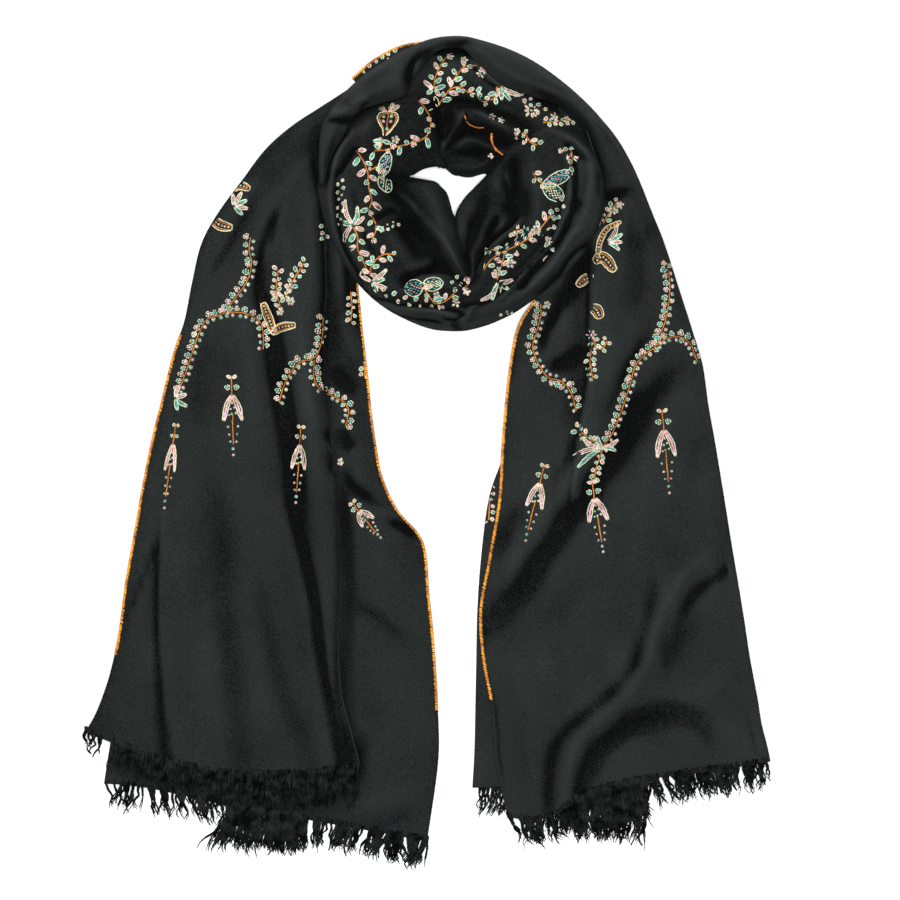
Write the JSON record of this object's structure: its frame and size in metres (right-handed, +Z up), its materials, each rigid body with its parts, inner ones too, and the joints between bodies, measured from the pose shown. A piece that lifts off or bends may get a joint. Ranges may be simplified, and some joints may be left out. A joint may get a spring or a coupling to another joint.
{
  "type": "pashmina shawl",
  "caption": "Embroidered wool shawl laid flat in one loop, with a cowled neck opening, two long folded tails and fringed hems.",
  "frame": {"origin": "middle of the footprint on the surface that the shawl lies on", "axes": "+Y from the tails' hems towards the top of the loop, +X towards the tail that lies on the right seen from above, +Z up, away from the surface"},
  "size_m": [0.6002, 0.731, 0.0502],
  "materials": {
    "wool": "matt fine wool twill with a soft sheen",
    "fringe": "matt loose wool yarn",
    "edging": "orange whip-stitched thread with a soft sheen",
    "embroidery": "satin-stitched cotton thread in cream, pink, teal and orange"
  },
  "bodies": {
    "root": {"fringe_left_back": "fringe", "fringe_left_front": "fringe", "fringe_left_middle": "fringe", "fringe_right_back": "fringe", "fringe_right_front": "fringe", "loop_front": "wool", "loop_left": "wool", "loop_right": "wool", "nape_inner": "wool", "nape_over": "wool", "nape_under": "wool", "tail_left": "wool", "tail_right": "wool"}
  },
  "joints": []
}
